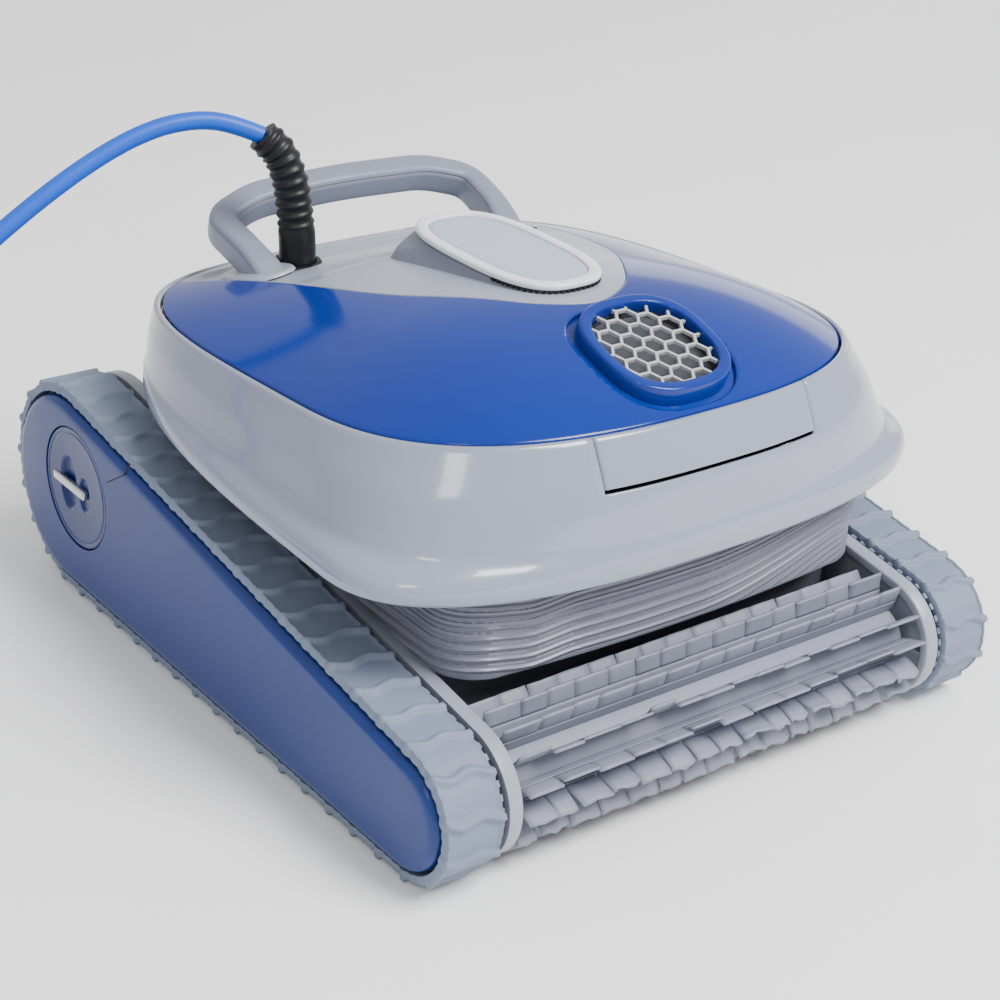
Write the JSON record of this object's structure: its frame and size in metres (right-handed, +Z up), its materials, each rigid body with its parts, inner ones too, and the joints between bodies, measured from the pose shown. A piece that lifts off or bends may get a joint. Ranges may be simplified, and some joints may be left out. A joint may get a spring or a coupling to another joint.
{
  "type": "tracked robotic pool cleaner",
  "caption": "Tracked pool cleaner robot with ribbed belts, a finned front brush, a domed cover with a grated water outlet, a rear carry handle and a floating cable wound in a coil.",
  "frame": {"origin": "centre of the footprint between the belts, on the floor", "axes": "+Z up, front with the brush towards -Y, +X towards the side without the cable"},
  "size_m": [0.7935, 0.4774, 0.3072],
  "materials": {
    "belt": "matt",
    "wheel": "matt",
    "steel": "brushed",
    "bush": "matt",
    "frame": "satin",
    "side_blue": "gloss",
    "lock_blue": "satin",
    "silver": "polished",
    "hull": "satin",
    "valve_rubber": "matt",
    "latch_blue": "satin",
    "tray": "matt",
    "shell": "gloss",
    "cover_blue": "gloss",
    "deck": "satin",
    "cap_white": "gloss",
    "cap_light": "satin",
    "grille": "gloss",
    "duct": "matt",
    "motor": "satin",
    "motor_case": "satin",
    "brush_rubber": "matt",
    "handle": "satin",
    "cable": "satin",
    "boot": "satin"
  },
  "bodies": {
    "body": {"track_belt_left": "belt", "track_belt_right": "belt", "flap_pin": "steel", "deck_screws": "steel", "rear_bush_left": "bush", "rear_bush_right": "bush", "front_bush_left": "bush", "front_bush_right": "bush", "side_frame_left": "frame", "side_frame_right": "frame", "track_guide_left": "frame", "track_guide_right": "frame", "side_cover_left": "side_blue", "side_cover_right": "side_blue", "hull": "hull", "base_plate": "hull", "deck_plate": "hull", "filter_tray": "tray", "upper_shell": "shell", "top_cover": "cover_blue", "top_deck": "deck", "cap_pedestal": "deck", "cap_ring": "cap_white", "cap_panel": "cap_light", "outlet_collar": "cover_blue", "outlet_grille": "grille", "outlet_duct": "duct", "pump_motor": "motor", "motor_box": "motor_case", "motor_box_lid": "motor_case", "drive_motor_left": "motor", "drive_motor_right": "motor", "motor_feet": "bush", "carry_handle": "handle", "cable_tube": "cable", "cable_coil": "cable", "strain_relief": "boot", "cable_gland": "boot", "cable_plug": "boot"},
    "brush": {"brush_shaft": "steel", "brush_core": "wheel", "brush_fins": "brush_rubber", "front_wheel_left": "wheel"},
    "rear_drive_left": {"rear_wheel_left": "wheel", "rear_axle_left": "steel"},
    "rear_drive_right": {"rear_wheel_right": "wheel", "rear_axle_right": "steel"},
    "front_idler_right": {"front_wheel_right": "wheel"},
    "lock_left": {"side_lock_left": "lock_blue", "lock_bar_left": "silver"},
    "lock_right": {"side_lock_right": "lock_blue", "lock_bar_right": "silver"},
    "inlet_valve_front": {"inlet_flap_front": "valve_rubber"},
    "inlet_valve_rear": {"inlet_flap_rear": "valve_rubber"},
    "latch_front": {"base_latch_front": "latch_blue"},
    "latch_rear": {"base_latch_rear": "latch_blue"},
    "flap": {"front_flap": "shell"},
    "pump_rotor": {"impeller": "duct"}
  },
  "joints": [
    {"name": "rear_left_spin", "type": "hinge", "parent": "body", "child": "rear_drive_left", "pos_m": [-0.1785, 0.169, 0.07], "axis": [1, 0, 0], "continuous": true},
    {"name": "rear_right_spin", "type": "hinge", "parent": "body", "child": "rear_drive_right", "pos_m": [0.1785, 0.169, 0.07], "axis": [1, 0, 0], "continuous": true},
    {"name": "brush_spin", "type": "hinge", "parent": "body", "child": "brush", "pos_m": [0, -0.197, 0.042], "axis": [1, 0, 0], "continuous": true},
    {"name": "front_right_spin", "type": "hinge", "parent": "body", "child": "front_idler_right", "pos_m": [0.1785, -0.197, 0.042], "axis": [1, 0, 0], "continuous": true},
    {"name": "lock_left_turn", "type": "hinge", "parent": "body", "child": "lock_left", "pos_m": [-0.2, 0.151, 0.079], "axis": [-1, 0, 0], "range_deg": [0, 90]},
    {"name": "lock_right_turn", "type": "hinge", "parent": "body", "child": "lock_right", "pos_m": [0.2, 0.151, 0.079], "axis": [1, 0, 0], "range_deg": [0, 90]},
    {"name": "inlet_front_lift", "type": "hinge", "parent": "body", "child": "inlet_valve_front", "pos_m": [0, -0.057, 0.028], "axis": [1, 0, 0], "range_deg": [0, 60]},
    {"name": "inlet_rear_lift", "type": "hinge", "parent": "body", "child": "inlet_valve_rear", "pos_m": [0, 0.057, 0.028], "axis": [-1, 0, 0], "range_deg": [0, 60]},
    {"name": "latch_front_turn", "type": "hinge", "parent": "body", "child": "latch_front", "pos_m": [0, -0.112, 0.02], "axis": [0, 0, 1], "range_deg": [0, 90]},
    {"name": "latch_rear_turn", "type": "hinge", "parent": "body", "child": "latch_rear", "pos_m": [0, 0.112, 0.02], "axis": [0, 0, 1], "range_deg": [0, 90]},
    {"name": "flap_open", "type": "hinge", "parent": "body", "child": "flap", "pos_m": [0, -0.174, 0.209], "axis": [-1, 0, 0], "range_deg": [0, 12]},
    {"name": "impeller_spin", "type": "hinge", "parent": "body", "child": "pump_rotor", "pos_m": [0, -0.13, 0.18], "axis": [0, 0, 1], "continuous": true}
  ],
  "couplings": [
    {"joint": "brush_spin", "follows": "rear_left_spin", "ratio": 1.8116},
    {"joint": "front_right_spin", "follows": "rear_right_spin", "ratio": 1.8116}
  ]
}
